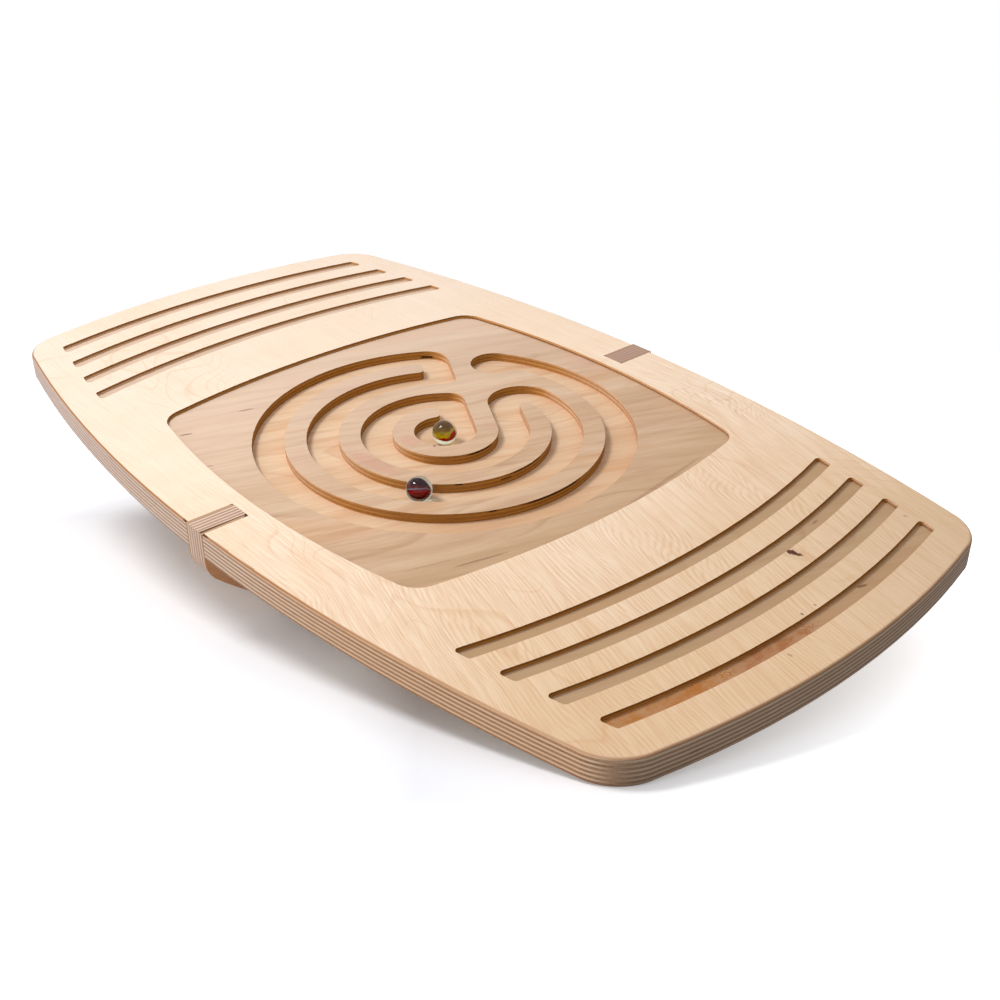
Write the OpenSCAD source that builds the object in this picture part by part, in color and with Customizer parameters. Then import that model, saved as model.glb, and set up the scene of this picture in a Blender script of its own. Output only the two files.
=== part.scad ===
// Balance board with a marble labyrinth.
// Lengths in mm, X along the board, Y across it, Z up.
// The origin is under the middle of the rocker rib, on the floor.

/* [Deck] */
// Length of the deck over both ends
deck_l = 650; // [600:1:720]
// Width of the deck over both long sides at the middle
deck_w = 380; // [360:1:420]
// Thickness of the plywood panel
deck_t = 18; // [15:0.5:24]
// Radius of the bowed ends
end_r = 580; // [480:5:800]
// Radius of the bowed long sides
side_r = 1240; // [1000:10:1800]
// Radius of the four corners seen from above
corner_r = 34; // [20:1:45]
// Round on the upper and lower edges of the panel
edge_round = 2.5; // [1:0.1:2.7]

/* [Foot slots] */
// Number of slots at each end
slot_count = 4; // [2:1:4]
// Distance from the deck's end to the middle of the outermost slot, on the long axis
slot_inset = 29.5; // [26:0.5:36]
// Spacing of the slots along the board
slot_pitch = 27.5; // [24:0.5:28]
// Width of a slot
slot_w = 11; // [8:0.5:14]
// Radius of the slots' curve
slot_r = 612; // [500:2:900]
// Flat left between a slot's end and the long side
slot_margin = 23.5; // [18:0.5:32]
// Round in the corners of a slot
slot_corner_r = 2.5; // [1:0.1:3.5]

/* [Recess] */
// Length of the recess round the labyrinth
recess_l = 300; // [285:1:320]
// Flat left between the recess and the long side at the middle
recess_margin = 41; // [38:0.5:48]
// Radius of its bowed edges
recess_r = 612; // [450:2:900]
// Radius of its corners
recess_corner_r = 18; // [10:0.5:28]
// Depth of the recess and of the foot slots
recess_depth = 2.8; // [2.8:0.1:4]

/* [Labyrinth] */
// Depth of the marble track below the recess
track_depth = 6.3; // [5:0.1:8]
// Radius of the goal in the middle
goal_r = 20.9; // [19:0.1:22]
// Width of the marble track
track_w = 21.1; // [19.5:0.1:22]
// Width of the ridges between the tracks and of the spine
ridge_w = 14.3; // [12:0.1:15]
// Direction that faces the spine square on, from the X axis
spine_turn = 60; // [45:1:75]
// Round of the outer track's blind end
blind_end_r = 17.3; // [15:0.1:19]
// Round of the ridge where the track widens into the blind end
neck_r = 12; // [6:0.5:16]
// Round of the first turn, from the outer to the middle track
outer_turn_r = 17.3; // [14:0.1:19]
// Round of the second turn, from the middle to the inner track
middle_turn_r = 24.3; // [22:0.1:26]
// Round of the third turn, from the inner track to the goal
inner_turn_r = 12.1; // [10:0.1:14]
// Round of the corner where the middle ridge meets the spine
root_r = 9.5; // [8.5:0.1:10]
// Round at the tip of the middle ridge, which runs out straight along the spine
middle_tip_r = 4.5; // [3.5:0.1:5.5]
// Round of the corners at the square free ends of the outer and inner ridge
ridge_end_r = 4; // [2:0.1:6]

/* [Rocker rib] */
// Thickness of the rib
rib_t = 18; // [15:0.5:21]
// Depth of the rib below the deck
rib_depth = 90; // [80:1:110]
// Depth left at the rib's ends, before they are rounded
rib_end_depth = 10; // [9.7:0.1:16]
// Round at the two ends of the sole
rib_end_r = 20; // [8:0.5:20]
// Length of the tenons let into the long sides
tenon_l = 31.5; // [24:0.5:34]
// Round on the tenons' inner upright edges
tenon_corner_r = 2.5; // [1:0.1:4]
// Gap on each side of a tenon in its notch
tenon_fit = 0.1; // [0.05:0.01:0.2]

/* [Marbles] */
// Diameter of the glass marbles
marble_d = 16.5; // [15:0.1:17]
// Air under a marble on the track
marble_lift = 0.2; // [0.1:0.05:0.4]
// Direction of the track marble from the middle, in the photographed position
track_marble_turn = -51; // [-150:1:60]
// Distance of the goal marble from the middle
goal_marble_r = 6.3; // [0:0.1:9]
// Direction of the goal marble from the middle
goal_marble_turn = -45; // [-180:1:180]
// Width of the coloured vane in a marble
vane_w = 11.4; // [9:0.1:12]
// Thickness of the coloured vane in its middle
vane_t = 4.2; // [2.5:0.1:5]
// Gap round a vane in its glass
vane_fit = 0.05; // [0.02:0.01:0.1]

/* [Hidden] */
$fn = 96;
// Allowance by which cutters pass the faces that they cut
over = 2;
// Amount by which a round passes the walls that it joins, so that they cross instead of touching
pass = 0.03;
// Length by which the corner cuts of the edge rounds start inside the long cuts
corner_lap = 1;
// Amount by which they stand outside the long cuts there
corner_step = 0.1;
half_l = deck_l / 2;
half_w = deck_w / 2;
recess_w = deck_w - 2 * recess_margin;
top_z = rib_depth + deck_t;
recess_z = top_z - recess_depth;
track_z = recess_z - track_depth;
// The sole is an arc through the rib's lowest line and its two end corners
sole_rise = rib_depth - rib_end_depth;
sole_r = (half_w * half_w + sole_rise * sole_rise) / (2 * sole_rise);
end_c = [half_l - end_r, 0];
side_c = [0, half_w - side_r];

// Walls of the labyrinth, from the goal outwards
ring = [for (k = [0 : 3]) [goal_r + k * (track_w + ridge_w), goal_r + k * (track_w + ridge_w) + ridge_w]];
inner_in = ring[0][1];
inner_out = ring[1][0];
middle_in = ring[1][1];
middle_out = ring[2][0];
outer_in = ring[2][1];
outer_out = ring[3][0];
// Faces of the spine, set a little into the walls that they run on from
left_face = goal_r - pass;
right_face = inner_in - pass;
// Angle over which the middle ridge is still a ring where its free end starts
ring_lead = 20;
// The spine runs off along this direction
spine_dir = spine_turn + 90;
facing = [cos(spine_turn), sin(spine_turn)];
along = [cos(spine_dir), sin(spine_dir)];

// Point at a distance from the middle along the spine's facing direction and along the spine
function spine_point(off, run) = off * facing + run * along;
// Run along the spine of a point at a given radius and offset
function run_at(r, off) = sqrt(r * r - off * off);
// Meeting point of two circles, on the chosen side of the line from the first to the second
function circles_meet(c1, r1, c2, r2, side) =
    let (v = c2 - c1, d = norm(v), u = v / d, a = (r1 * r1 - r2 * r2 + d * d) / (2 * d))
    c1 + a * u + side * sqrt(r1 * r1 - a * a) * [-u[1], u[0]];
// Point on the ray from c through p, at a distance r from c
function ray_point(c, p, r) = c + (p - c) / norm(p - c) * r;
function flip(p, sx, sy) = [p[0] * sx, p[1] * sy];

// Outlines

// Four bowed edges without their corner rounds
module bowed_outline(hl, hw, re, rs) {
    intersection() {
        translate([hl - re, 0]) circle(re, $fn = 360);
        translate([re - hl, 0]) circle(re, $fn = 360);
        translate([0, hw - rs]) circle(rs, $fn = 720);
        translate([0, rs - hw]) circle(rs, $fn = 720);
    }
}

// Centre of the corner round between a bowed end and a bowed side
function bow_corner(hl, hw, re, rs, q) = circles_meet([hl - re, 0], re - q, [0, hw - rs], rs - q, 1);

// What a corner round takes off
module corner_waste(hl, hw, re, rs, q, sx, sy) {
    c = bow_corner(hl, hw, re, rs, q);
    tip = circles_meet([hl - re, 0], re, [0, hw - rs], rs, 1);
    on_end = ray_point([hl - re, 0], c, re + over);
    on_side = ray_point([0, hw - rs], c, rs + over);
    difference() {
        polygon([flip(c, sx, sy), flip(on_end, sx, sy),
            flip(tip + [over, over], sx, sy), flip(on_side, sx, sy)]);
        translate(flip(c, sx, sy)) circle(q + pass);
    }
}

module bowed_panel(hl, hw, re, rs, q) {
    difference() {
        bowed_outline(hl, hw, re, rs);
        for (sx = [1, -1]) for (sy = [1, -1]) corner_waste(hl, hw, re, rs, q, sx, sy);
    }
}

module deck_outline() {
    bowed_panel(half_l, half_w, end_r, side_r, corner_r);
}

module recess_outline() {
    bowed_panel(recess_l / 2, recess_w / 2, recess_r, recess_r, recess_corner_r);
}

// Notches in the long sides for the rib's tenons
module tenon_notches() {
    for (s = [1, -1])
        translate([-rib_t / 2 - tenon_fit, s > 0 ? half_w - tenon_l - tenon_fit : -half_w - over])
            square([rib_t + 2 * tenon_fit, tenon_l + tenon_fit + over]);
}

// One foot slot: a curved band between two lines that follow the long sides
module foot_slot(k, s) {
    x = half_l - slot_inset - k * slot_pitch;
    c = [x - slot_r, 0];
    stop_r = side_r - slot_margin;
    difference() {
        intersection() {
            translate([s * c[0], 0]) circle(slot_r + slot_w / 2, $fn = 360);
            translate(side_c) circle(stop_r, $fn = 720);
            translate(-side_c) circle(stop_r, $fn = 720);
            translate([s > 0 ? 0 : -half_l, -half_w]) square([half_l, deck_w]);
        }
        translate([s * c[0], 0]) circle(slot_r - slot_w / 2, $fn = 360);
        for (sy = [1, -1]) {
            slot_corner_waste(c, slot_r + slot_w / 2, 1, stop_r, s, sy);
            slot_corner_waste(c, slot_r - slot_w / 2, -1, stop_r, s, sy);
        }
    }
}

// What the round takes off in one corner of a slot, on its outer or inner wall
module slot_corner_waste(c, wall_r, wall, stop_r, s, sy) {
    q = slot_corner_r;
    m = circles_meet(c, wall_r - wall * q, side_c, stop_r - q, 1);
    tip = circles_meet(c, wall_r, side_c, stop_r, 1);
    on_wall = ray_point(c, m, wall_r + wall * over);
    on_stop = ray_point(side_c, m, stop_r + over);
    out = tip + over * (ray_point(c, tip, 1) - c) * wall + over * (ray_point(side_c, tip, 1) - side_c);
    difference() {
        polygon([flip(m, s, sy), flip(on_wall, s, sy), flip(out, s, sy), flip(on_stop, s, sy)]);
        translate(flip(m, s, sy)) circle(q + pass);
    }
}

// Labyrinth

// Wedge from angle a0 to a1, at most 180 degrees apart, out past radius r
module wedge(a0, a1, r) {
    mid = (a0 + a1) / 2;
    far = 2 * r;
    polygon([[0, 0], far * [cos(a0), sin(a0)], 2 * far * [cos(mid), sin(mid)], far * [cos(a1), sin(a1)]]);
}

// Circular track between two radii, leaving out the wedge from a0 to a1
module track_ring(r_in, r_out, a0, a1) {
    difference() {
        circle(r_out);
        circle(r_in);
        wedge(a0, a1, r_out);
    }
}

// All points nearer than off to the middle, seen square on to the spine, in its direction
module beside_spine(off, r) {
    rotate(spine_turn) translate([-2 * r, 0]) square([2 * r + off, 2 * r]);
}

// Centre of a round that touches a wall circle from inside and a line along the spine from beyond
function wall_round(r, off, q) = spine_point(off + q, run_at(r - q, off + q));

// Corner between a line along the spine and a wall circle, as far as it lies outside its round.
// It is inside the circle where side is 1 and outside it where side is -1.
module spine_corner(r, off, q, side) {
    c = spine_point(off - q, run_at(r - side * q, off - q));
    difference() {
        polygon([c, c + (q + over) * facing, spine_point(off + over, run_at(r, off) + side * over),
            ray_point([0, 0], c, r + side * over)]);
        translate(c) circle(q + pass);
    }
}

// Area inside a wall circle and beyond a line along the spine, up to the round that closes it
module spine_pocket(r, off, q) {
    c = wall_round(r, off, q);
    translate(c) circle(q + pass);
    intersection() {
        circle(r);
        polygon([spine_point(off, -over), spine_point(2 * r, -over), ray_point([0, 0], c, 2 * r),
            c, spine_point(off, c * along)]);
    }
}

// Corners taken off the square free end of a ridge between two radii
module ridge_end_corners(r_in, r_out) {
    spine_corner(r_out, 0, ridge_end_r, 1);
    spine_corner(r_in, 0, ridge_end_r, -1);
}

// First turn, on the left of the spine, between the outer and the middle track
module outer_turn() {
    difference() {
        intersection() {
            circle(outer_out);
            wedge(spine_turn, spine_dir, outer_out);
            beside_spine(left_face, outer_out);
        }
        circle(middle_in);
        spine_corner(outer_out, left_face, outer_turn_r, 1);
        spine_corner(middle_in, left_face, root_r, -1);
    }
}

// Second turn, on the right of the spine, between the middle and the inner track
module middle_turn() {
    difference() {
        spine_pocket(middle_out, right_face, middle_turn_r);
        middle_ridge_end();
    }
}

// Third turn, on the left of the spine, between the inner track and the goal
module inner_turn() {
    difference() {
        intersection() {
            circle(inner_out);
            wedge(spine_turn, spine_dir, inner_out);
            beside_spine(left_face, inner_out);
        }
        spine_corner(inner_out, left_face, inner_turn_r, 1);
    }
}

// Free end of the middle ridge: its inner face leaves the circle and runs straight along the spine
module middle_ridge_end() {
    difference() {
        union() {
            spine_pocket(middle_in, inner_out - pass, middle_tip_r);
            intersection() {
                circle(middle_in);
                wedge(spine_turn - ring_lead, spine_turn, middle_in);
            }
        }
        circle(inner_out);
    }
}

// Blind end of the outer track, with the rounded corner of the ridge beside it
module blind_end() {
    c = wall_round(outer_out, right_face, blind_end_r);
    n = circles_meet(c, blind_end_r + neck_r, [0, 0], outer_in - neck_r, 1);
    tip = circles_meet(c, blind_end_r, [0, 0], outer_in, 1);
    translate(c) circle(blind_end_r + pass);
    difference() {
        polygon([n, ray_point(n, c, neck_r + over), ray_point(n, tip, norm(tip - n) + over),
            ray_point([0, 0], n, outer_in + over)]);
        translate(n) circle(neck_r + pass);
    }
}

// The whole track as one cut
module labyrinth_track() {
    blind = wall_round(outer_out, right_face, blind_end_r);
    bend = wall_round(middle_out, right_face, middle_turn_r);
    circle(goal_r);
    track_ring(outer_in, outer_out, atan2(blind[1], blind[0]), spine_dir);
    blind_end();
    outer_turn();
    ridge_end_corners(middle_out, outer_in);
    track_ring(middle_in, middle_out, atan2(bend[1], bend[0]), spine_dir);
    middle_turn();
    track_ring(inner_in, inner_out, spine_turn, spine_dir);
    inner_turn();
    ridge_end_corners(goal_r, inner_in);
}

// Edge rounds of the panel, as cutters on the plane z = 0, which lies above the panel

// Waste of the round along an arc of radius r, in the plane of the arc's section
module round_section(r) {
    difference() {
        translate([r - edge_round, -edge_round]) square([edge_round + over, edge_round + over]);
        translate([r - edge_round, -edge_round]) circle(edge_round + pass);
    }
}

module edge_waste() {
    c = bow_corner(half_l, half_w, end_r, side_r, corner_r);
    a0 = atan2(c[1] - end_c[1], c[0] - end_c[0]);
    a1 = atan2(c[1] - side_c[1], c[0] - side_c[0]);
    // the corner cuts start inside the long cuts and stand a hair outside them
    lap = atan(corner_lap / corner_r);
    for (s = [1, -1]) {
        // bowed end
        translate([s * end_c[0], 0]) rotate(s > 0 ? -a0 : 180 - a0)
            rotate_extrude(angle = 2 * a0, $fn = 360) round_section(end_r);
        // bowed side
        translate([0, s * side_c[1]]) rotate(s > 0 ? a1 : 180 + a1)
            rotate_extrude(angle = 180 - 2 * a1, $fn = 720) round_section(side_r);
        // corners
        translate([s * c[0], s * c[1]]) rotate((s > 0 ? a0 : 180 + a0) - lap)
            rotate_extrude(angle = a1 - a0 + 2 * lap) round_section(corner_r + corner_step);
        translate([s * c[0], -s * c[1]]) rotate((s > 0 ? -a1 : 180 - a1) - lap)
            rotate_extrude(angle = a1 - a0 + 2 * lap) round_section(corner_r + corner_step);
    }
}

// Pieces

// Upper plies of the panel, cut through by the recess and the foot slots
module face_plies() {
    color("BurlyWood")
    difference() {
        translate([0, 0, recess_z]) linear_extrude(top_z - recess_z) difference() {
            deck_outline();
            recess_outline();
            for (k = [0 : slot_count - 1]) for (s = [1, -1]) foot_slot(k, s);
            tenon_notches();
        }
        translate([0, 0, top_z]) edge_waste();
    }
}

// Middle plies of the panel, cut through by the labyrinth
module labyrinth_plies() {
    color("Tan")
    translate([0, 0, track_z]) linear_extrude(recess_z - track_z) difference() {
        deck_outline();
        labyrinth_track();
        tenon_notches();
    }
}

// Lower plies of the panel, the floor of the labyrinth
module base_plies() {
    color("Wheat")
    difference() {
        translate([0, 0, rib_depth]) linear_extrude(track_z - rib_depth) difference() {
            deck_outline();
            tenon_notches();
        }
        translate([0, 0, rib_depth]) mirror([0, 0, 1]) edge_waste();
    }
}

// Rib across the board, with a curved sole and a tenon at each end
module rocker_rib() {
    color("Peru") {
        rotate([90, 0, 90]) translate([0, 0, -rib_t / 2]) linear_extrude(rib_t) difference() {
            intersection() {
                translate([-half_w, 0]) square([deck_w, rib_depth]);
                translate([0, sole_r]) circle(sole_r, $fn = 360);
            }
            for (s = [1, -1]) sole_end_waste(s);
        }
        for (s = [1, -1]) translate([0, 0, rib_depth - over]) linear_extrude(deck_t + over) tenon(s);
    }
}

// What the round takes off at one end of the sole
module sole_end_waste(s) {
    y = half_w - rib_end_r;
    z = sole_r - run_at(sole_r - rib_end_r, y);
    on_sole = ray_point([0, sole_r], [y, z], sole_r + over);
    difference() {
        polygon([flip([y, z], s, 1), flip([half_w + over, z], s, 1), flip([half_w + over, 0], s, 1),
            flip(on_sole, s, 1)]);
        translate([s * y, z]) circle(rib_end_r + pass);
    }
}

// Tenon seen from above, with its inner corners rounded
module tenon(s) {
    y = half_w - tenon_l;
    q = tenon_corner_r;
    difference() {
        translate([-rib_t / 2, s > 0 ? y : -half_w]) square([rib_t, tenon_l]);
        for (sx = [1, -1]) difference() {
            polygon([flip([rib_t / 2 - q, y + q], sx, s), flip([rib_t / 2 + over, y + q], sx, s),
                flip([rib_t / 2 + over, y - over], sx, s), flip([rib_t / 2 - q, y - over], sx, s)]);
            translate([sx * (rib_t / 2 - q), s * (y + q)]) circle(q);
        }
    }
}

// Coloured vane of a marble, a lens with a gap g round it
module vane_lens(g) {
    r = (vane_w * vane_w / 4 + vane_t * vane_t / 4) / vane_t;
    intersection() {
        translate([0, 0, r - vane_t / 2]) sphere(r + g);
        translate([0, 0, vane_t / 2 - r]) sphere(r + g);
    }
}

// Places and attitudes of the two marbles in the photographed position
marble_z = track_z + marble_lift + marble_d / 2;
track_marble_r = (middle_in + middle_out) / 2;
track_marble_at = concat(track_marble_r * [cos(track_marble_turn), sin(track_marble_turn)], [marble_z]);
goal_marble_at = concat(goal_marble_r * [cos(goal_marble_turn), sin(goal_marble_turn)], [marble_z]);
track_vane_tilt = [70, 0, 20];
goal_vane_tilt = [55, 0, 45];

module marble_glass(tilt) {
    difference() {
        sphere(marble_d / 2);
        rotate(tilt) vane_lens(vane_fit);
    }
}

module track_marble_glass() {
    color("LightCyan", 0.5) translate(track_marble_at) marble_glass(track_vane_tilt);
}

module track_marble_vane() {
    color("DarkRed") translate(track_marble_at) rotate(track_vane_tilt) vane_lens(0);
}

module goal_marble_glass() {
    color("Honeydew", 0.5) translate(goal_marble_at) marble_glass(goal_vane_tilt);
}

module goal_marble_vane() {
    color("Olive") translate(goal_marble_at) rotate(goal_vane_tilt) vane_lens(0);
}

face_plies();
labyrinth_plies();
base_plies();
rocker_rib();
track_marble_glass();
track_marble_vane();
goal_marble_glass();
goal_marble_vane();
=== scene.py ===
import math

import bmesh
import bpy
from mathutils import Euler, Matrix, Vector


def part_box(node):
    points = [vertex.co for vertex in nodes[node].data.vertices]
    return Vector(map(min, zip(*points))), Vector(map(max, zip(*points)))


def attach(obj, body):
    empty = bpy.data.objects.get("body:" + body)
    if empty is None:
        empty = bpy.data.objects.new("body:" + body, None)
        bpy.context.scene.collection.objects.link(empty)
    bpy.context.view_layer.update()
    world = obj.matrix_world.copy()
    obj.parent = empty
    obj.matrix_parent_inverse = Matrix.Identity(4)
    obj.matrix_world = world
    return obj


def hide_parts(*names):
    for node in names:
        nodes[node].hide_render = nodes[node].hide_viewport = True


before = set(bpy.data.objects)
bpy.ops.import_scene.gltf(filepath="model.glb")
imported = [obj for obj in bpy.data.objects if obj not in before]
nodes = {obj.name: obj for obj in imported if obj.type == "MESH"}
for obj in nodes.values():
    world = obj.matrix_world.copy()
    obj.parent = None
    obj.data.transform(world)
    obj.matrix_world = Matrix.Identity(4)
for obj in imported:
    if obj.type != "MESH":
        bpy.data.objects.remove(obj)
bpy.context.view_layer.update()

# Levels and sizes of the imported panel, in metres
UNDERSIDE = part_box("base_plies")[0].z
DECK_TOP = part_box("face_plies")[1].z
HALF_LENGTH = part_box("face_plies")[1].x
HALF_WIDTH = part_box("face_plies")[1].y
RIB_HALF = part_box("rocker_rib")[1].x
PLY_COUNT = 13
PLY = (DECK_TOP - UNDERSIDE) / PLY_COUNT
END_BOW = 0.580
SIDE_BOW = 1.240
RIM_REACH = 0.016
NOTCH_HALF = 0.011
FIBRE_DEPTH = 0.00010
SEAM_PLY = 11.3

# The veneers that the cutter lays bare run across the board, a little askew
GRAIN_RUN = 0.94
GRAIN_LEAN = 0.34


# Shader sums

def tint(red, green, blue):
    """Linear colour of a swatch read in 0 to 255 steps."""
    def linear(step):
        share = step / 255
        return share / 12.92 if share <= 0.04045 else ((share + 0.055) / 1.055) ** 2.4
    return (linear(red), linear(green), linear(blue), 1.0)


class Wire:
    """A socket in a finish. Sums on it add Math nodes, and node() adds any other."""

    def __init__(self, tree, socket=None):
        self.tree = tree
        self.socket = socket

    def node(self, kind, settings=None, sockets=None, out=0):
        made = self.tree.nodes.new(kind)
        for name, value in (settings or {}).items():
            if name == "stops":
                ramp = made.color_ramp
                while len(ramp.elements) < len(value):
                    ramp.elements.new(1.0)
                for element, (place, colour) in zip(ramp.elements, value):
                    element.position = place
                    element.color = colour
            else:
                setattr(made, name, value)
        for name, value in (sockets or {}).items():
            if isinstance(value, Wire):
                self.tree.links.new(value.socket, made.inputs[name])
            else:
                made.inputs[name].default_value = value
        return Wire(self.tree, made.outputs[out] if made.outputs else None)

    def math(self, operation, *terms):
        return self.node("ShaderNodeMath", {"operation": operation}, dict(enumerate(terms)))

    def __add__(self, other):
        return self.math("ADD", self, other)

    __radd__ = __add__

    def __sub__(self, other):
        return self.math("SUBTRACT", self, other)

    def __rsub__(self, other):
        return self.math("SUBTRACT", other, self)

    def __mul__(self, other):
        return self.math("MULTIPLY", self, other)

    __rmul__ = __mul__

    def __truediv__(self, other):
        return self.math("DIVIDE", self, other)

    def __rtruediv__(self, other):
        return self.math("DIVIDE", other, self)

    def __pow__(self, other):
        return self.math("POWER", self, other)

    def __abs__(self):
        return self.math("ABSOLUTE", self)

    def floor(self):
        return self.math("FLOOR", self)

    def fract(self):
        return self.math("FRACT", self)

    def most(self, other):
        return self.math("MAXIMUM", self, other)

    def over(self, low, high, to_low=0.0, to_high=1.0):
        """Eased step from to_low at low to to_high at high."""
        return self.node(
            "ShaderNodeMapRange",
            {"interpolation_type": "SMOOTHSTEP", "clamp": True},
            {"Value": self, "From Min": low, "From Max": high, "To Min": to_low, "To Max": to_high},
        )

    def ramp(self, *stops):
        """Colour read off a row of (place, colour) stops."""
        return self.node("ShaderNodeValToRGB", {"stops": stops}, {"Fac": self})


def blend(share, first, second):
    """Colour between two colours, by a share from 0 to 1."""
    wire = next(w for w in (share, first, second) if isinstance(w, Wire))
    return wire.node("ShaderNodeMix", {"data_type": "RGBA"}, {0: share, 6: first, 7: second}, 2)


def cloud(x, y, z, detail=2.0, roughness=0.5, distortion=0.0):
    """Smooth noise, about 0.5 on the whole, of a place that is given in noise cells."""
    wire = next(w for w in (x, y, z) if isinstance(w, Wire))
    place = wire.node("ShaderNodeCombineXYZ", None, {0: x, 1: y, 2: z})
    return wire.node(
        "ShaderNodeTexNoise",
        {"noise_dimensions": "3D"},
        {"Vector": place, "Scale": 1.0, "Detail": detail, "Roughness": roughness, "Distortion": distortion},
    )


def new_finish(name):
    """A material with its place and facing, and the shader that they end in."""
    material = bpy.data.materials.new(name)
    material.use_nodes = True
    tree = material.node_tree
    tree.nodes.clear()
    start = Wire(tree)
    place = start.node("ShaderNodeTexCoord", None, None, "Object")
    xyz = [start.node("ShaderNodeSeparateXYZ", None, {0: place}, i) for i in range(3)]
    facing = start.node("ShaderNodeNewGeometry", None, None, "Normal")
    normal = [start.node("ShaderNodeSeparateXYZ", None, {0: facing}, i) for i in range(3)]
    return material, start, xyz, normal


def close_finish(start, colour, roughness, height=None, depth=0.0, strength=0.0, **constants):
    """Shader and output of a finish."""
    sockets = {"Base Color": colour, "Roughness": roughness, **constants}
    if height is not None:
        sockets["Normal"] = start.node(
            "ShaderNodeBump", None, {"Strength": strength, "Distance": depth, "Height": height}
        )
    shader = start.node("ShaderNodeBsdfPrincipled", None, sockets)
    start.node("ShaderNodeOutputMaterial", None, {"Surface": shader})


# Birch

def varnish(shine):
    """Sockets of a thin satin varnish."""
    return {"IOR": 1.45, "Specular IOR Level": shine}


def squarely(n):
    """1 where a surface faces along the axis of n, 0 on rounded edges and on walls beside it."""
    return n.over(0.90, 0.985)


def cross_grain(x, y):
    """Place along and across the grain of the veneers that the cutter lays bare."""
    return y * GRAIN_RUN + x * GRAIN_LEAN, x * GRAIN_RUN - y * GRAIN_LEAN


def growth_lines(field, count):
    """Thin growth lines on a smooth field, each soft on one side."""
    turn = (field * count).fract()
    return turn.over(0.80, 0.95) * turn.over(0.955, 1.0, 1.0, 0.0)


def face_birch(along, across, seed, pale, deep, line, dense):
    """Colour of rotary cut birch and the height of its fibres. Dense lines show where dense is 1."""
    drift = cloud(along * 5.0, across * 11.0, seed + 3.1)
    field = cloud(along * 3.4 + drift * 0.3, across * 8.0 + drift * 1.1, seed, 2.0, 0.45)
    across = across + (along - 0.10).most(0.0) * 0.30
    sparse = growth_lines(field, 34.0) * cloud(along * 7.0, across * 14.0, seed + 7.7, 1.0).over(0.46, 0.66)
    broken = cloud(along * 34.0, across * 150.0, seed + 4.4)
    phase = across * 410.0 + drift * 30.0 + field * 16.0 + broken * 1.5
    swing = phase * (2 * math.pi)
    ripple = swing.math("SINE", swing).over(-0.5, 1.0) * broken.over(0.30, 0.62) * dense
    fibres = cloud(along * 26.0, across * 620.0, seed + 1.3, 2.0, 0.6)
    pores = cloud(along * 150.0, across * 2300.0, seed + 5.2, 1.0).over(0.60, 0.74)
    blotch = cloud(along * 6.0, across * 13.0, seed + 9.4, 2.0, 0.5)
    flame = cloud(along * 46.0, across * 7.0, seed + 8.3, 1.0)
    colour = blend(blotch.over(0.30, 0.72) * 0.7 + flame.over(0.3, 0.7) * 0.3, pale, deep)
    colour = blend(fibres.over(0.34, 0.72) * (dense * 0.22 + 0.06), colour, line)
    colour = blend(sparse * 0.22, colour, line)
    colour = blend(ripple * 0.26, colour, line)
    colour = blend(pores * 0.16, colour, line)
    return colour, fibres * 0.6 - pores * 0.4 + ripple * 0.2


def milled_birch(along, across, seed, tones, line, line_share):
    """Colour of a veneer laid bare by the cutter: soft broad bands, a few lines, and its fibres' height."""
    drift = cloud(along * 4.0, across * 9.0, seed + 3.1)
    band = cloud(along * 3.2 + drift * 0.5, across * 26.0 + drift * 3.0, seed, 3.0, 0.55)
    colour = band.ramp(*zip((0.30, 0.44, 0.56, 0.70), tones))
    lines = growth_lines(cloud(along * 2.4, across * 13.0 + drift * 1.5, seed + 6.2, 1.0), 13.0)
    lines = lines * cloud(along * 5.0, across * 16.0, seed + 7.7, 1.0).over(0.42, 0.66)
    fibres = cloud(along * 30.0, across * 700.0, seed + 1.3, 2.0, 0.6)
    pores = cloud(along * 130.0, across * 1900.0, seed + 5.2, 1.0).over(0.60, 0.74)
    strands = cloud(along * 14.0, across * 150.0 + drift * 6.0, seed + 2.2, 2.0, 0.6)
    colour = blend(strands.over(0.40, 0.74) * 0.26, colour, line)
    colour = blend(fibres.over(0.30, 0.72) * 0.16, colour, line)
    colour = blend(lines * line_share, colour, line)
    colour = blend(pores * 0.16, colour, line)
    return colour, fibres * 0.6 - pores * 0.4


def cut_veneers(depth, x, y, z, even_end, odd_end, seed):
    """Colour of the veneers on a cut edge: long grain, end grain and glue lines, and the cut's height."""
    wave = cloud(x * 22.0, y * 22.0, z * 60.0 + seed)
    count = depth + (wave - 0.5) * 0.20
    ply = count.floor()
    odd = ply.math("FLOORED_MODULO", ply, 2.0)
    end = even_end * (1 - odd) + odd_end * odd
    tone = ply.node("ShaderNodeTexWhiteNoise", {"noise_dimensions": "1D"}, {"W": ply + seed})
    streak = cloud(x * 60.0, y * 60.0, z * 2600.0 + seed, 2.0, 0.6)
    speck = cloud(x * 700.0, y * 700.0, z * 1500.0 + seed, 2.0, 0.65)
    long_grain = blend(streak.over(0.3, 0.7) * 0.6 + tone * 0.4, tint(212, 178, 146), tint(236, 208, 180))
    end_grain = blend(speck.over(0.3, 0.7) * 0.6 + tone * 0.4, tint(138, 102, 74), tint(176, 138, 104))
    colour = blend(end.over(0.25, 0.9), long_grain, end_grain)
    joint = abs(count - ply - 0.5).over(0.40, 0.50)
    colour = blend(joint * 0.5, colour, tint(92, 64, 44))
    gaps = cloud(x * 40.0, y * 40.0, z * 900.0 + seed + 2.0, 1.0).over(0.72, 0.76) * end
    colour = blend(gaps * 0.8, colour, tint(38, 26, 18))
    return colour, streak * 0.5 + speck * 0.5 - joint * 0.6


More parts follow.
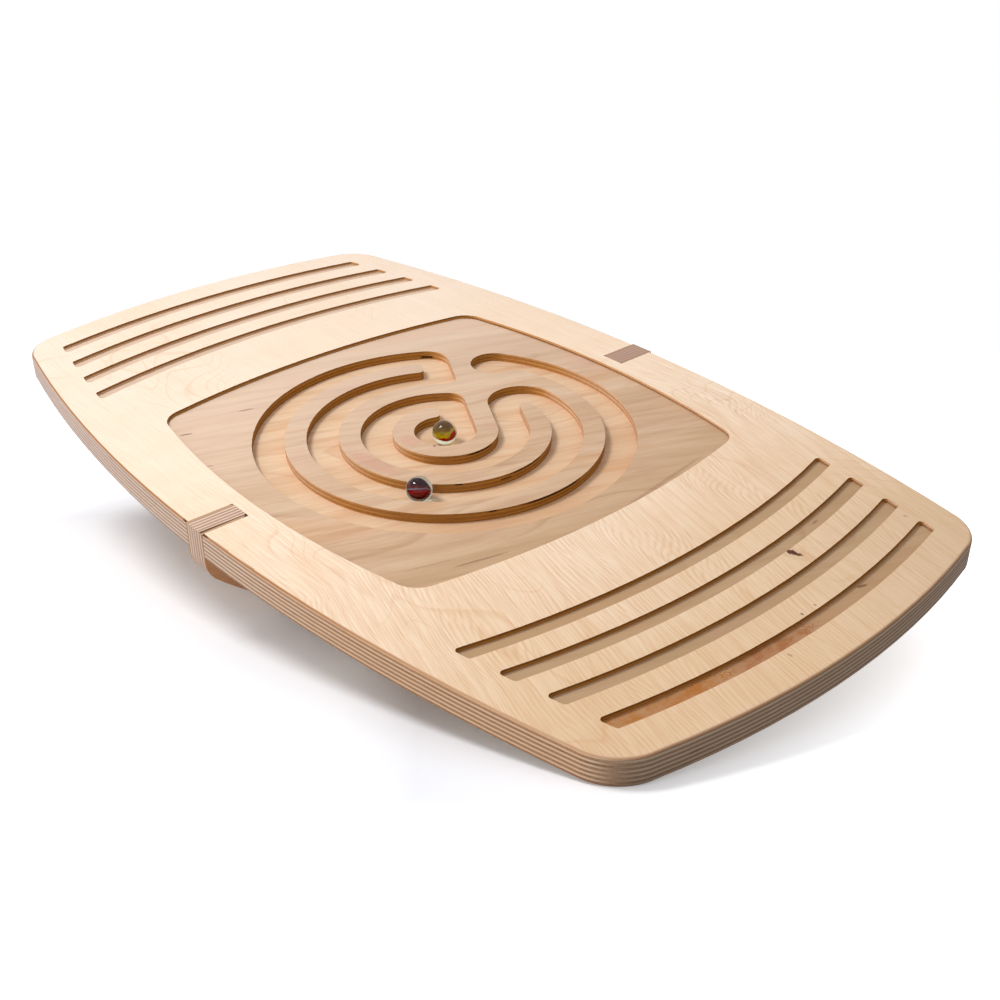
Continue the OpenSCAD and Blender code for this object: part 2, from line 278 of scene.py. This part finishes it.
def track_wall(depth, x, y, z, nx, ny, seed, contrast):
    """Colour of a wall left by the cutter, with painted shade on the sides that face the near end, away from
    the lamp, and painted light on the sides that face the lamp.
    """
    # Painted shade and light: walls facing away from the lamp are darker and browner, walls facing it paler
    painted_shade_by_facing = nx * 0.81 + ny * 0.59
    colour = (painted_shade_by_facing * 0.5 + 0.5).ramp(
        (0.10, tint(246, 200, 160)),
        (0.30, tint(226, 166, 100)),
        (0.55, tint(204, 144, 74)),
        (0.90, tint(182, 126, 54)),
    )
    wave = cloud(x * 22.0, y * 22.0, z * 60.0 + seed)
    count = depth + (wave - 0.5) * 0.25
    ply = count.floor()
    odd = ply.math("FLOORED_MODULO", ply, 2.0)
    end = abs(nx) * (1 - odd) + abs(ny) * odd
    streak = cloud(x * 70.0, y * 70.0, z * 2400.0 + seed, 2.0, 0.6)
    speck = cloud(x * 500.0, y * 500.0, z * 1400.0 + seed, 2.0, 0.65)
    joint = abs(count - ply - 0.5).over(0.36, 0.50)
    dark = end.over(0.25, 0.9) * contrast + joint * 0.2
    dark = dark + speck.over(0.35, 0.7) * 0.14 + streak.over(0.4, 0.7) * 0.14
    return blend(dark, colour, tint(84, 46, 8)), speck - joint * 0.5


def on_rim(x, y):
    """1 on the outer rim of the panel, 0 on the walls of the recess, the slots and the track."""
    end = ((abs(x) + (END_BOW - HALF_LENGTH)) ** 2.0 + y * y) ** 0.5
    side = (x * x + (abs(y) + (SIDE_BOW - HALF_WIDTH)) ** 2.0) ** 0.5
    at_end = end.over(END_BOW - RIM_REACH - 0.002, END_BOW - RIM_REACH)
    return at_end.most(side.over(SIDE_BOW - RIM_REACH - 0.002, SIDE_BOW - RIM_REACH))


def spot(x, y, at, size, turn=0.0, ragged=0.35, seed=0.0):
    """Mask of a small mark in a veneer, an oval with a ragged rim."""
    dx, dy = x - at[0], y - at[1]
    c, s = math.cos(turn), math.sin(turn)
    u, v = (dx * c + dy * s) / size[0], (dy * c - dx * s) / size[1]
    rag = (cloud(x * 700.0, y * 700.0, seed) - 0.5) * (2.0 * ragged)
    reach = (u * u + v * v) ** 0.5 + rag
    return reach.over(0.75, 1.10, 1.0, 0.0)


def wall_joint_and_shade(x, y, z, radius, middle, length, level, height):
    """Mask of a dark mark on a round track wall, partly an open joint between two veneers and partly painted
    shade along the wall. Its middle is an angle in degrees.
    """
    far = abs((x * x + y * y) ** 0.5 - radius)
    along = abs(y.math("ARCTAN2", y, x) - math.radians(middle)) * (2 * radius / length)
    lift = abs(z - level) * (2 / height)
    return along.over(0.6, 1.0, 1.0, 0.0) * lift.over(0.5, 1.0, 1.0, 0.0) * far.over(0.001, 0.002, 1.0, 0.0)


def along_board(x, far, middle, near):
    """Colour that drifts along the board as one veneer does."""
    return blend(x.over(0.08, 0.30), blend(x.over(-0.22, 0.02), far, middle), near)


def rim_tone_and_shade(edge, x, nx):
    """Rim under its varnish: pale towards the far end, warm before the near end, and dark grey on the near
    end, partly the grey of its end grain and partly painted shade on the end that faces away from the lamp.
    """
    edge = blend(x.over(-0.30, 0.20, 0.5, 0.0), edge, tint(214, 198, 194))
    edge = blend(x.over(0.0, 0.15) * nx.over(0.2, 0.5, 0.22, 0.0), edge, tint(204, 142, 88))
    # Painted shade on the near end, mixed with the grey of its end grain
    return blend(nx.over(0.45, 0.95) * 0.64, edge, tint(102, 86, 71))


def face_finish():
    """Upper veneers: the bare face of the board, its rounded rim, and the walls of the recess and slots."""
    material, start, (x, y, z), (nx, ny, nz) = new_finish("birch_face")
    pale = along_board(x, tint(245, 225, 207), tint(249, 229, 206), tint(233, 204, 172))
    deep = along_board(x, tint(240, 217, 193), tint(245, 218, 190), tint(225, 193, 157))
    face, fibre = face_birch(x, y, 2.0, pale, deep, tint(204, 150, 98), x.over(-0.08, 0.12, 0.15, 1.0))
    dull_corner = x.over(0.18, 0.32) * y.over(-0.04, 0.16)
    face = blend(dull_corner * 0.34, face, tint(194, 166, 134))
    halo = spot(x, y, (0.2477, 0.0502), (0.016, 0.006), 0.25, 0.5)
    face = blend(halo * 0.22, face, tint(196, 142, 96))
    # The knot in its two parts, and pin knots
    for at, size, turn, share in (
        ((0.2465, 0.0502), (0.0034, 0.0024), 0.2, 0.95),
        ((0.2505, 0.0510), (0.0030, 0.0014), 0.7, 0.90),
        ((0.2873, 0.0065), (0.0011, 0.0007), 0.0, 0.7),
        ((0.2868, 0.0183), (0.0010, 0.0006), 0.3, 0.6),
        ((0.2668, 0.1318), (0.0014, 0.0007), 0.4, 0.5),
        ((0.3051, -0.0266), (0.0016, 0.0009), 0.2, 0.35),
        ((-0.0793, -0.1431), (0.0012, 0.0008), 0.2, 0.4),
    ):
        knot = spot(x, y, at, size, turn, 0.6, at[0] * 90) * share
        face = blend(knot, face, tint(70, 16, 0))
    depth = (DECK_TOP - z) / PLY
    edge, rough_edge = cut_veneers(depth, x, y, z, abs(nx), abs(ny), 1.0)
    band = depth.over(0.02, 0.25) * depth.over(0.60, 0.85, 1.0, 0.0)
    edge = blend(band * x.over(0.05, 0.27, 0.9, 0.4), rim_tone_and_shade(edge, x, nx), tint(160, 104, 54))
    # Painted shade of the gaps at the mouths of the notch, dark on the rim band beside it
    notch_mouth_shade = abs(abs(x) - NOTCH_HALF).over(0.001, 0.004, 1.0, 0.0) * y.over(-0.185, -0.180, 1.0, 0.0)
    edge = blend(notch_mouth_shade * band * 0.85, edge, tint(74, 30, 8))
    wall, rough_wall = track_wall(depth, x, y, z, nx, ny, 3.0, 0.52)
    # The far slots' walls get less of the painted facing shade, and painted bounce light makes them paler
    # near their floors
    wall = blend(x.over(-0.20, -0.12, 0.25, 0.0), wall, tint(190, 150, 104))
    wall = blend(depth.over(1.1, 1.5) * x.over(-0.20, -0.14, 0.7, 0.0), wall, tint(232, 204, 178))
    rim = on_rim(x, y)
    flat = squarely(nz)
    colour = blend(flat, blend(rim, wall, edge), face)
    height = fibre * flat + (rough_edge * rim + rough_wall * (1 - rim)) * (1 - flat)
    close_finish(start, colour, fibre * 0.16 + 0.42, height, FIBRE_DEPTH, 0.30, **varnish(0.15))
    return material


def cross_finish():
    """Middle veneers: recess floor, slot floors and ridges across the grain, and the walls of the track."""
    material, start, (x, y, z), (nx, ny, nz) = new_finish("birch_milled")
    tones = (tint(198, 168, 139), tint(210, 176, 145), tint(218, 188, 159), tint(212, 170, 134))
    floor, fibre = milled_birch(*cross_grain(x, y), 11.0, tones, tint(154, 108, 70), 0.34)
    blush = cloud(x * 16.0, y * 22.0, 6.0, 3.0, 0.6).over(0.52, 0.70)
    floor = blend(blush * 0.32, floor, tint(204, 154, 136))
    floor = blend(x.over(-0.16, 0.06, 0.45, 0.0), floor, tint(230, 208, 190))
    # Pink places on the goal ridge and on the next one
    flush = spot(x, y, (-0.0045, -0.0270), (0.0080, 0.0060), 0.0, 0.8)
    flush = flush.most(spot(x, y, (0.0040, -0.0620), (0.0240, 0.0060), 0.1, 0.8))
    floor = blend(flush * 0.34, floor, tint(206, 146, 130))
    # Browner towards the near end, and again in the near slots
    floor = blend(x.over(0.06, 0.15) * 0.44, floor, tint(180, 146, 108))
    floor = blend(x.over(0.150, 0.165) * 0.36, floor, tint(172, 140, 102))
    # Traces of glue in the outermost near slot
    floor = blend(x.over(0.283, 0.289) * y.over(-0.02, 0.06, 0.30, 0.10), floor, tint(178, 112, 66))
    glue = cloud(x * 110.0, y * 70.0, 4.0, 4.0, 0.65).over(0.40, 0.62)
    for at, size, turn, share, brown in (
        ((0.2955, -0.028), (0.012, 0.034), 0.0, 0.20, tint(158, 92, 44)),
        ((0.2810, -0.112), (0.012, 0.056), -0.2, 0.34, tint(176, 106, 34)),
    ):
        trace = spot(x, y, at, size, turn, 0.6) * (glue * 0.5 + share)
        floor = blend(trace, floor, brown)
    # Mineral streaks and pin knots
    for at, size, turn, share in (
        ((0.2908, 0.0556), (0.0012, 0.0034), -0.3, 0.6),
        ((0.2330, 0.0904), (0.0008, 0.0032), 0.2, 0.45),
        ((-0.1135, -0.0828), (0.0012, 0.0060), -0.30, 0.40),
        ((-0.1094, -0.1317), (0.0010, 0.0046), -0.35, 0.60),
        ((-0.0623, -0.1419), (0.0007, 0.0026), -0.30, 0.40),
        ((0.1325, -0.0840), (0.0010, 0.0180), -0.25, 0.40),
        ((0.1180, -0.1080), (0.0008, 0.0160), -0.30, 0.22),
        ((0.1420, 0.0560), (0.0016, 0.0480), 0.14, 0.22),
        ((0.0110, -0.0178), (0.0010, 0.0024), 0.3, 0.75),
    ):
        floor = blend(spot(x, y, at, size, turn, seed=at[0] * 90) * share, floor, tint(104, 54, 30))
    depth = (DECK_TOP - z) / PLY
    edge, rough_edge = cut_veneers(depth, x, y, z, abs(nx), abs(ny), 1.0)
    edge = rim_tone_and_shade(edge, x, nx)
    wall, rough_wall = track_wall(depth, x, y, z, nx, ny, 5.0, 0.32)
    # Dark marks, partly open joints and partly painted shade: radius of the wall, angle, length, level and
    # height
    for shaded_gap in (
        (0.1271, 146.0, 0.015, 0.1006, 0.0022),
        (0.0706, -33.0, 0.006, 0.1046, 0.0013),
        (0.0706, -7.0, 0.010, 0.1025, 0.0011),
        (0.0706, 8.0, 0.034, 0.1043, 0.0014),
        (0.0352, 2.0, 0.026, 0.1042, 0.0016),
        (0.1060, -24.0, 0.006, 0.1046, 0.0013),
        (0.1060, 0.0, 0.056, 0.1042, 0.0017),
    ):
        wall = blend(wall_joint_and_shade(x, y, z, *shaded_gap) * 0.9, wall, tint(24, 12, 6))
    rim = on_rim(x, y)
    flat = squarely(nz)
    colour = blend(flat, blend(rim, wall, edge), floor)
    height = fibre * flat + (rough_edge * rim + rough_wall * (1 - rim)) * (1 - flat)
    close_finish(start, colour, fibre * 0.14 + 0.55, height, FIBRE_DEPTH, 0.35, **varnish(0.10))
    return material


def base_finish():
    """Lower veneers: track floor above, bare face below, and the rim of the panel."""
    material, start, (x, y, z), (nx, ny, nz) = new_finish("birch_base")
    tones = (tint(216, 178, 142), tint(225, 191, 157), tint(230, 200, 168), tint(222, 182, 144))
    floor, fibre = milled_birch(*cross_grain(x, y), 19.0, tones, tint(182, 124, 78), 0.26)
    floor = blend(x.over(0.02, 0.13) * 0.34, floor, tint(196, 146, 102))
    pale, deep, line = tint(240, 214, 182), tint(232, 200, 164), tint(196, 148, 104)
    under, under_fibre = face_birch(x, y, 27.0, pale, deep, line, 0.5)
    depth = (DECK_TOP - z) / PLY
    edge, rough_edge = cut_veneers(depth, x, y, z, abs(nx), abs(ny), 1.0)
    band = depth.over(11.6, 11.9) * depth.over(12.7, 12.98, 1.0, 0.0)
    edge = rim_tone_and_shade(blend(band * 0.6, edge, tint(150, 102, 64)), x, nx)
    flat = squarely(abs(nz))
    up = nz.over(0.0, 0.5)
    colour = blend(flat, edge, blend(up, under, floor))
    height = (fibre * up + under_fibre * (1 - up)) * flat + rough_edge * (1 - flat)
    close_finish(start, colour, fibre * 0.14 + 0.52, height, FIBRE_DEPTH, 0.35, **varnish(0.15))
    return material


def rib_finish():
    """Rib: bare faces left and right, and striped edges where its veneers are cut."""
    material, start, (x, y, z), (nx, ny, nz) = new_finish("birch_rib")
    pale, deep, line = tint(212, 160, 118), tint(198, 142, 100), tint(158, 104, 64)
    face, fibre = face_birch(y, z, 33.0, pale, deep, line, 0.5)
    depth = (x + RIB_HALF) / PLY
    edge, rough_edge = cut_veneers(depth, y, z, x, abs(ny), abs(nz), 13.0)
    edge = blend(0.28, edge, tint(206, 178, 172))
    skin = abs(depth - PLY_COUNT / 2).over(PLY_COUNT / 2 - 1.1, PLY_COUNT / 2 - 0.9)
    edge = blend(skin * 0.7, edge, tint(172, 128, 78))
    # The near tenon has an open seam beside its outermost veneer, wider outwards,
    # and a near-black crescent at its inner corner, painted shade of the gap there
    upwards = nz.over(0.5, 0.8)
    near_tenon = y.over(-0.05, 0.05, 0.95, 0.0) * upwards
    seam = abs(depth - SEAM_PLY) / y.over(-0.190, -0.160, 0.85, 0.35)
    edge = blend(seam.over(0.6, 1.0, 1.0, 0.0) * near_tenon, edge, tint(84, 46, 12))
    shaded_gap = ((x - 0.0035).most(0.0) ** 2.0 + (y + 0.1640).most(0.0) ** 2.0) ** 0.5
    edge = blend(shaded_gap.over(0.0055, 0.0058) * near_tenon, edge, tint(12, 6, 4))
    # The far tenon is darker and hardly striped
    far_tenon = y.over(0.05, 0.10) * upwards
    edge = blend(far_tenon * 0.7, edge, tint(168, 130, 112))
    flat = squarely(abs(nx))
    colour = blend(flat, edge, face)
    height = fibre * flat + rough_edge * (1 - flat)
    close_finish(start, colour, fibre * 0.14 + 0.50, height, FIBRE_DEPTH, 0.35, **varnish(0.20))
    return material


def dress(node, material):
    """Give a solid of the pack its finish."""
    mesh = nodes[node].data
    mesh.materials.clear()
    mesh.materials.append(material)


dress("face_plies", face_finish())
dress("labyrinth_plies", cross_finish())
dress("base_plies", base_finish())
dress("rocker_rib", rib_finish())


# Marbles. The layers of their coloured glass lie across one direction, which is up in the photograph

LAYER_WAY = Vector((-0.386, 0.342, 0.857))
TRACK_PETAL_TURN = Euler((math.radians(64), 0, math.radians(40))).to_matrix()
GOAL_PETAL_TURN = Euler((math.radians(55), 0, math.radians(45))).to_matrix()
SHEAR_DEPTH = 0.00004
SHEAR_SPREAD = 0.16
SIDE_FROM = 0.0022
SIDE_DROP = 1.6


def ball_glass(name, pale, deep):
    """Clear glass of a marble, a little uneven in its tint."""
    material, start, (x, y, z), _ = new_finish(name)
    swirl = cloud(x * 160.0, y * 160.0, z * 160.0, 2.0, 0.5, 1.2)
    smear = cloud(x * 420.0, y * 420.0, z * 420.0).over(0.62, 0.80)
    colour = blend(swirl.over(0.35, 0.65), pale, deep)
    close_finish(
        start, colour, smear * 0.02,
        **{"Transmission Weight": 1.0, "IOR": 1.5, "Specular Tint": (0.60, 0.66, 0.70, 1.0)},
    )
    return material


def layered_glass(name, reach, side, layers):
    """Coloured glass of a petal: layers drawn out in swirls, and lower towards one side of it."""
    material, start, (x, y, z), _ = new_finish(name)
    swirl = cloud(x * 190.0, y * 190.0, z * 190.0, 2.0, 0.5, 0.6)
    level = x * LAYER_WAY.x + y * LAYER_WAY.y + z * LAYER_WAY.z + (swirl - 0.5) * (reach * 0.9)
    level = level - (x * side.x + y * side.y - SIDE_FROM).most(0.0) * SIDE_DROP
    # The upper layers are dark, partly the petal's own colours and partly painted shade of the dark
    # surroundings that the glass shows above
    colour = (level / (2 * reach) + 0.5).ramp(*layers)
    close_finish(start, colour, swirl * 0.1 + 0.5, **{"IOR": 1.5, "Specular IOR Level": 0.0})
    return material


def bench_piece(name, verts, faces, at, material, body, node):
    """A smooth piece in place of a solid of the pack, riding with its body."""
    mesh = bpy.data.meshes.new(name)
    mesh.from_pydata(verts, [], faces)
    mesh.materials.append(material)
    mesh.polygons.foreach_set("use_smooth", [True] * len(mesh.polygons))
    piece = bpy.data.objects.new(name, mesh)
    bpy.context.scene.collection.objects.link(piece)
    piece.location = at
    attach(piece, body)
    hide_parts(node)


def ball(radius, pole, bubbles):
    """A pressed glass ball with a faint shear mark at each pole, and small air bubbles inside."""
    shape = bmesh.new()
    bmesh.ops.create_icosphere(shape, subdivisions=6, radius=radius)
    for vert in shape.verts:
        way = vert.co.normalized()
        for mark in (pole, -pole):
            off = math.acos(max(-1.0, min(1.0, way.dot(mark))))
            vert.co -= way * (SHEAR_DEPTH * math.exp(-((off / SHEAR_SPREAD) ** 2)))
    verts = [v.co.copy() for v in shape.verts]
    faces = [[v.index for v in f.verts] for f in shape.faces]
    shape.free()
    for place, size in bubbles:
        start = len(verts)
        shape = bmesh.new()
        bmesh.ops.create_icosphere(shape, subdivisions=2, radius=size)
        verts += [v.co + Vector(place) for v in shape.verts]
        faces += [[start + v.index for v in reversed(f.verts)] for f in shape.faces]
        shape.free()
    return verts, faces


def vane(length, breadth, thickness, twist, turn, rise):
    """A petal of coloured glass, thick in the middle, twisted from end to end and set up by rise."""
    rings, steps = 40, 48
    verts = []
    for i in range(rings + 1):
        run = -math.cos(math.pi * i / rings)
        half = max(math.sqrt(max(0.0, 1 - run * run)), 0.002)
        spin = twist * run
        for k in range(steps):
            a = 2 * math.pi * k / steps
            across = math.cos(a) * half * breadth / 2
            lift = math.sin(a) * half * half * thickness / 2
            verts.append(LAYER_WAY * rise + turn @ Vector((
                run * length / 2,
                across * math.cos(spin) - lift * math.sin(spin),
                across * math.sin(spin) + lift * math.cos(spin),
            )))
    faces = []
    for i in range(rings):
        for k in range(steps):
            a, b = i * steps + k, i * steps + (k + 1) % steps
            faces.append((a, b, b + steps, a + steps))
    faces.append(tuple(reversed(range(steps))))
    faces.append(tuple(range(rings * steps, (rings + 1) * steps)))
    return verts, faces


def make_marble(body, glass, petal, petal_shape, pole, bubbles):
    """One marble: a ball of clear glass and the petal of coloured glass inside it."""
    low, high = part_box(body + "_glass")
    centre, radius = (low + high) / 2, (high.z - low.z) / 2
    verts, faces = ball(radius, pole.normalized(), bubbles)
    bench_piece(body + "_ball", verts, faces, centre, glass, body, body + "_glass")
    verts, faces = vane(*petal_shape)
    bench_piece(body + "_petal", verts, faces, centre, petal, body, body + "_vane")


make_marble(
    "track_marble",
    ball_glass("glass_track", tint(214, 234, 238), tint(196, 224, 230)),
    layered_glass("petal_red", 0.0036, Vector((0.0, 0.0)), (
        (0.00, tint(96, 2, 2)), (0.30, tint(164, 8, 6)), (0.46, tint(140, 6, 6)), (0.50, tint(160, 150, 156)),
        (0.54, tint(120, 80, 86)), (0.58, tint(120, 4, 6)), (0.74, tint(70, 0, 2)), (0.95, tint(50, 0, 2)),
    )),
    (0.0112, 0.0092, 0.0034, 0.5, TRACK_PETAL_TURN, 0.0004),
    Vector((0.3, -0.5, 0.81)),
    (
        ((0.0030, -0.0022, 0.0040), 0.00022),
        ((-0.0041, 0.0012, 0.0030), 0.00016),
        ((0.0010, 0.0050, -0.0020), 0.00020),
    ),
)
make_marble(
    "goal_marble",
    ball_glass("glass_goal", tint(228, 226, 204), tint(214, 210, 178)),
    layered_glass("petal_olive", 0.0048, Vector((0.664, 0.748)), (
        (0.00, tint(180, 10, 4)), (0.17, tint(186, 22, 6)),
        (0.23, tint(206, 176, 0)), (0.36, tint(196, 168, 0)),
        (0.52, tint(132, 96, 4)), (0.80, tint(104, 72, 8)), (1.00, tint(116, 70, 12)),
    )),
    (0.0112, 0.0098, 0.0036, 0.5, GOAL_PETAL_TURN, 0.0006),
    Vector((-0.5, 0.2, 0.84)),
    (((0.0028, 0.0030, 0.0030), 0.00020), ((-0.0030, -0.0036, 0.0022), 0.00016)),
)


# Stage. The board leans on its sole and near corner but is level in its frame, so the floor is tilted

FLOOR_UP = Vector((-0.217565, 0.192206, 0.956934)).normalized()
FLOOR_DROP = -0.0070347
FLOOR_REACH = 1.5
PAPER = (0.81, 0.82, 0.86, 1.0)
WINDOW_AT = Vector((-0.40, -0.45, 1.10))
WINDOW_FACES = Vector((0.05, 0.0, DECK_TOP))
WINDOW_WIDTH = 0.4
WINDOW_POWER = 7.9
WALL_DIM, WALL_BRIGHT, WHITE = 0.26, 0.72, 1.0


def make_floor():
    """Pale paper that fades out at its rim. The camera sees it lifted to white away from the shadow."""
    shape = bmesh.new()
    bmesh.ops.create_circle(shape, cap_ends=True, segments=96, radius=FLOOR_REACH)
    mesh = bpy.data.meshes.new("floor")
    shape.to_mesh(mesh)
    shape.free()
    floor = bpy.data.objects.new("floor", mesh)
    bpy.context.scene.collection.objects.link(floor)
    floor.rotation_mode = "QUATERNION"
    floor.rotation_quaternion = FLOOR_UP.to_track_quat("Z", "Y")
    floor.location = FLOOR_UP * FLOOR_DROP
    material = bpy.data.materials.new("paper_floor")
    material.use_nodes = True
    material.node_tree.nodes.clear()
    start = Wire(material.node_tree)
    place = start.node("ShaderNodeTexCoord", None, None, "Object")
    far = start.node("ShaderNodeVectorMath", {"operation": "LENGTH"}, {0: place}, "Value")
    position = start.node("ShaderNodeNewGeometry", None, None, "Position")
    x, y = (start.node("ShaderNodeSeparateXYZ", None, {0: position}, i) for i in range(2))
    under = start.node("ShaderNodeNewGeometry", None, None, "Backfacing")
    camera = start.node("ShaderNodeLightPath", None, None, "Is Camera Ray")
    paper = start.node("ShaderNodeBsdfDiffuse", None, {"Color": PAPER})
    # Painted light for the camera only: the paper is lifted beside the near end, along the near side and far
    # from the board, which fades the board's shadow beside the near end
    aside = ((x + y * 0.5 + 0.11) / 0.51).most(0.0)
    beside = (x - 0.10).most(0.0) * -0.6 - y
    glow = (aside ** 3.0 * 0.9).most(far.over(0.30, 0.50) * 0.8).most(beside.over(0.085, 0.18) * 0.19)
    dark = start.node("ShaderNodeEmission", None, {"Strength": 0.0})
    white = start.node("ShaderNodeEmission", None, {"Color": (1.0, 1.0, 1.0, 1.0), "Strength": 1.0})
    lift = start.node("ShaderNodeMixShader", None, {0: camera * glow, 1: dark, 2: white})
    lit = start.node("ShaderNodeAddShader", None, {0: paper, 1: lift})
    gone = start.node("ShaderNodeBsdfTransparent")
    fade = far.over(FLOOR_REACH * 0.6, FLOOR_REACH * 0.98)
    shader = start.node("ShaderNodeMixShader", None, {0: fade.most(under), 1: lit, 2: gone})
    start.node("ShaderNodeOutputMaterial", None, {"Surface": shader})
    mesh.materials.append(material)


def make_light():
    """A room that is brighter towards a high window, and white where it is seen, and the window's lamp."""
    world = bpy.data.worlds.new("studio")
    bpy.context.scene.world = world
    world.use_nodes = True
    world.node_tree.nodes.clear()
    start = Wire(world.node_tree)
    way = start.node("ShaderNodeTexCoord", None, None, "Generated")
    window_way = WINDOW_AT.normalized()
    near = start.node("ShaderNodeVectorMath", {"operation": "DOT_PRODUCT"}, {0: way, 1: window_way}, "Value")
    dim, bright, white = (
        start.node("ShaderNodeBackground", None, {"Color": (1.0, 1.0, 1.0, 1.0), "Strength": strength})
        for strength in (WALL_DIM, WALL_BRIGHT, WHITE)
    )
    walls = start.node("ShaderNodeMixShader", None, {0: near.over(-0.5, 0.9), 1: dim, 2: bright})
    camera, glossy, through = (
        start.node("ShaderNodeLightPath", None, None, ray)
        for ray in ("Is Camera Ray", "Is Glossy Ray", "Is Transmission Ray")
    )
    seen = camera.most(glossy.most(through))
    sky = start.node("ShaderNodeMixShader", None, {0: seen, 1: walls, 2: white})
    start.node("ShaderNodeOutputWorld", None, {"Surface": sky})

    window = bpy.data.lights.new("high_window", "AREA")
    window.shape = "DISK"
    window.size = WINDOW_WIDTH
    window.energy = WINDOW_POWER
    lamp = bpy.data.objects.new("high_window", window)
    bpy.context.scene.collection.objects.link(lamp)
    lamp.location = WINDOW_AT
    lamp.rotation_mode = "QUATERNION"
    lamp.rotation_quaternion = (WINDOW_AT - WINDOW_FACES).to_track_quat("Z", "Y")


def make_camera():
    """The photograph's camera, fitted to the outline of the deck, the slots and the recess."""
    right = Vector((0.664207, 0.747549, 0.000862))
    up = Vector((-0.385741, 0.341748, 0.856979))
    back = Vector((0.640338, -0.569543, 0.515351))
    eye = Vector((0.60959, -0.49367, 0.52276))
    data = bpy.data.cameras.new("camera")
    data.sensor_width = 36.0
    data.lens = 48.068
    data.clip_start = 0.01
    camera = bpy.data.objects.new("camera", data)
    bpy.context.scene.collection.objects.link(camera)
    axes = Matrix((right, up, back)).transposed().to_4x4()
    camera.matrix_world = Matrix.Translation(eye) @ axes
    bpy.context.scene.camera = camera


make_floor()
make_light()
make_camera()
bpy.context.scene.view_settings.view_transform = "Standard"
